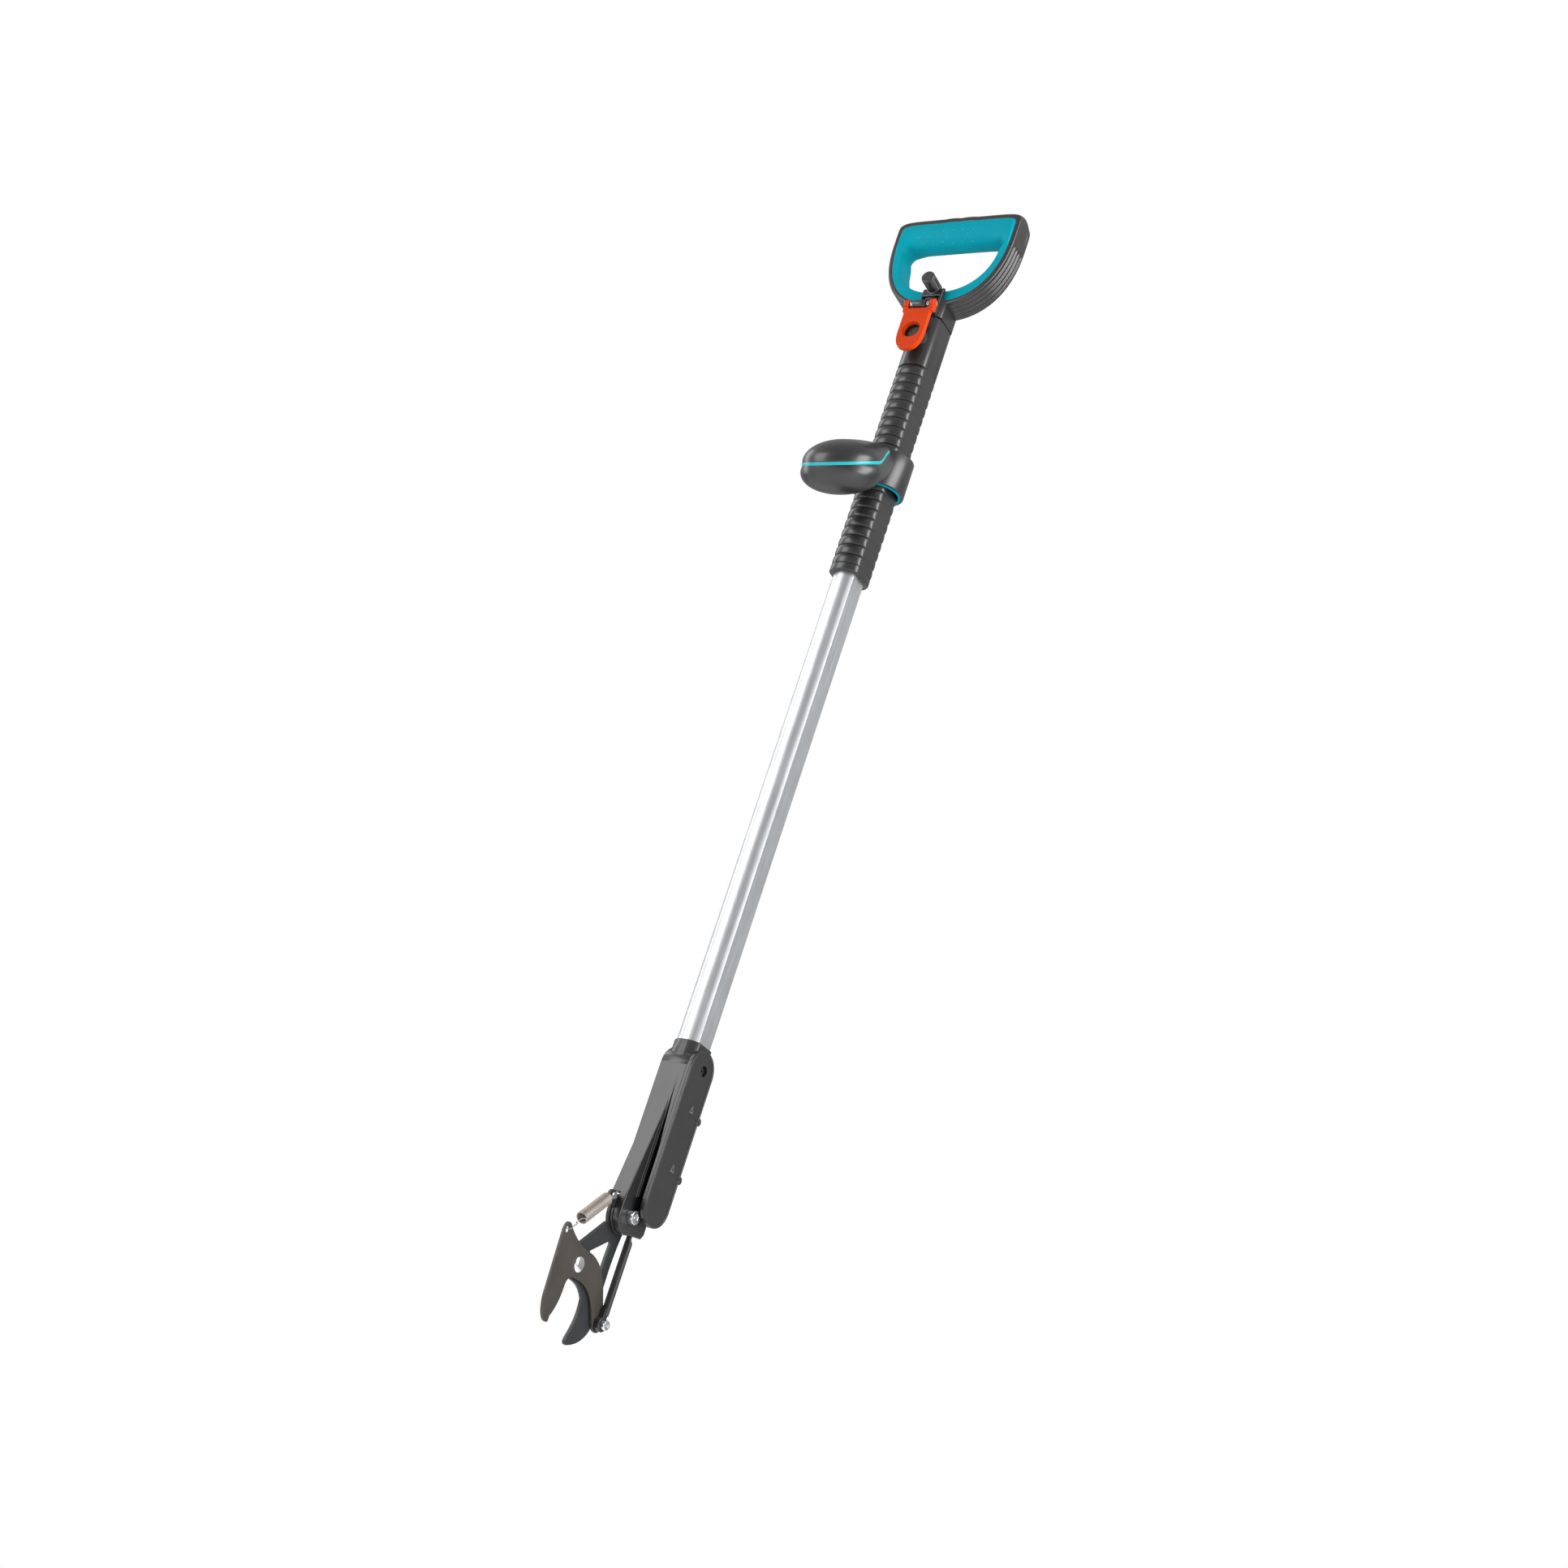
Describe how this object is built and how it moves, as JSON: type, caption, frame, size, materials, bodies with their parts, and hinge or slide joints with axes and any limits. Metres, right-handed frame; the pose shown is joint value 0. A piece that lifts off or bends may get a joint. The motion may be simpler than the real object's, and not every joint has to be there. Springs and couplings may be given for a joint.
{
  "type": "tree pruner pole",
  "caption": "Long-reach tree pruner: silver pole, sliding loop handle with orange lock, palm pod on a ribbed sleeve, and a tilting bypass cutting head driven by a strap.",
  "frame": {"origin": "on the axis of the pole, in the bare tube between the ribbed sleeve and the head housing", "axes": "+Z along the pole toward the loop handle, -Y toward the front with the hasp and the palm pod, +X along the pins of the cutting head"},
  "size_m": [0.143, 0.1345, 1.2207],
  "materials": {
    "tube_aluminium": "satin anodised",
    "anthracite": "satin",
    "teal_grip": "soft matt",
    "teal_stripe": "glossy",
    "orange_plastic": "satin",
    "inner_plastic": "satin",
    "strap_black": "woven",
    "dark_steel": "satin",
    "coated_blade": "satin low-friction coat",
    "zinc": "zinc plated",
    "nickel": "nickel plated",
    "bright_bolt": "polished"
  },
  "bodies": {
    "pole": {"pole_tube": "tube_aluminium", "grip_sleeve": "anthracite", "hasp_bracket": "anthracite", "hasp_springs": "nickel", "housing_body": "anthracite", "housing_cover": "anthracite", "tube_screw": "dark_steel", "anchor_pin": "zinc", "hub_screw": "zinc"},
    "handle": {"handle_frame": "anthracite", "handle_grip": "teal_grip", "handle_stem": "anthracite", "lock_post": "anthracite", "stem_screws": "zinc", "strap_pin": "zinc", "upper_strap": "strap_black"},
    "hasp": {"lock_hasp": "orange_plastic", "hasp_pin": "nickel"},
    "pod": {"pod_upper": "anthracite", "pod_lower": "anthracite", "pod_stripe": "teal_stripe", "pod_ring": "anthracite", "ring_liner": "teal_grip", "pod_screws": "zinc"},
    "tackle": {"tackle_block": "inner_plastic", "block_axle": "zinc", "block_screw": "zinc"},
    "pulley": {"block_pulley": "inner_plastic"},
    "roller": {"hub_roller": "inner_plastic"},
    "head": {"hub_disc": "anthracite", "hook_plate": "dark_steel", "disc_rivets": "zinc", "spring_post": "zinc", "pivot_nut": "zinc", "pivot_bolt": "bright_bolt"},
    "knob": {"hub_knob": "anthracite"},
    "blade": {"cutting_blade": "coated_blade", "eye_screw": "zinc"},
    "strap_end": {"strap_eye": "anthracite", "lower_strap": "strap_black"},
    "spring": {"return_spring": "nickel"},
    "spring_end": {"spring_hook": "nickel"}
  },
  "joints": [
    {"name": "handle_pull", "type": "slide", "parent": "pole", "child": "handle", "axis": [0, 0, 1], "range_m": [0, 0.1], "stiffness_N_per_m": 60, "springref_m": -0.05, "deforming": ["upper_strap"]},
    {"name": "hasp_swing", "type": "hinge", "parent": "pole", "child": "hasp", "pos_m": [0, -0.0332, 0.5366], "axis": [-1, 0, 0], "range_deg": [0, 180]},
    {"name": "pod_slide", "type": "slide", "parent": "pole", "child": "pod", "axis": [0, 0, 1], "range_m": [-0.07, 0.1]},
    {"name": "block_rise", "type": "slide", "parent": "pole", "child": "tackle", "axis": [0, 0, 1], "range_m": [0, 0.051]},
    {"name": "pulley_spin", "type": "hinge", "parent": "tackle", "child": "pulley", "pos_m": [0, -0.00275, -0.385], "axis": [1, 0, 0], "range_deg": [-410, 0]},
    {"name": "roller_spin", "type": "hinge", "parent": "pole", "child": "roller", "pos_m": [0, -0.018, -0.43], "axis": [1, 0, 0], "range_deg": [0, 191]},
    {"name": "head_tilt", "type": "hinge", "parent": "pole", "child": "head", "pos_m": [0, -0.018, -0.43], "axis": [1, 0, 0], "range_deg": [0, 40]},
    {"name": "knob_turn", "type": "hinge", "parent": "head", "child": "knob", "pos_m": [0, -0.018, -0.43], "axis": [1, 0, 0], "continuous": true},
    {"name": "blade_close", "type": "hinge", "parent": "head", "child": "blade", "pos_m": [0, -0.056, -0.4855], "axis": [1, 0, 0], "range_deg": [0, 48.5], "deforming": ["lower_strap"]},
    {"name": "eye_turn", "type": "hinge", "parent": "blade", "child": "strap_end", "pos_m": [0, -0.00275, -0.521], "axis": [1, 0, 0], "range_deg": [-36.5, 0]},
    {"name": "spring_swing", "type": "hinge", "parent": "head", "child": "spring", "pos_m": [0, -0.042, -0.42], "axis": [1, 0, 0], "range_deg": [0, 10.7], "deforming": ["return_spring"]},
    {"name": "spring_stretch", "type": "slide", "parent": "spring", "child": "spring_end", "axis": [0, -0.7016, -0.7126], "range_m": [0, 0.0295]}
  ],
  "couplings": [
    {"joint": "block_rise", "follows": "handle_pull", "ratio": 0.5},
    {"joint": "pulley_spin", "follows": "handle_pull", "rad_per_m": -71.209},
    {"joint": "roller_spin", "follows": "handle_pull", "rad_per_m": 32.987},
    {"joint": "blade_close", "follows": "handle_pull", "rad_per_m": 8.3776},
    {"joint": "eye_turn", "follows": "handle_pull", "rad_per_m": -6.2832},
    {"joint": "spring_swing", "follows": "handle_pull", "rad_per_m": 1.7802},
    {"joint": "spring_stretch", "follows": "handle_pull", "ratio": 0.29}
  ]
}
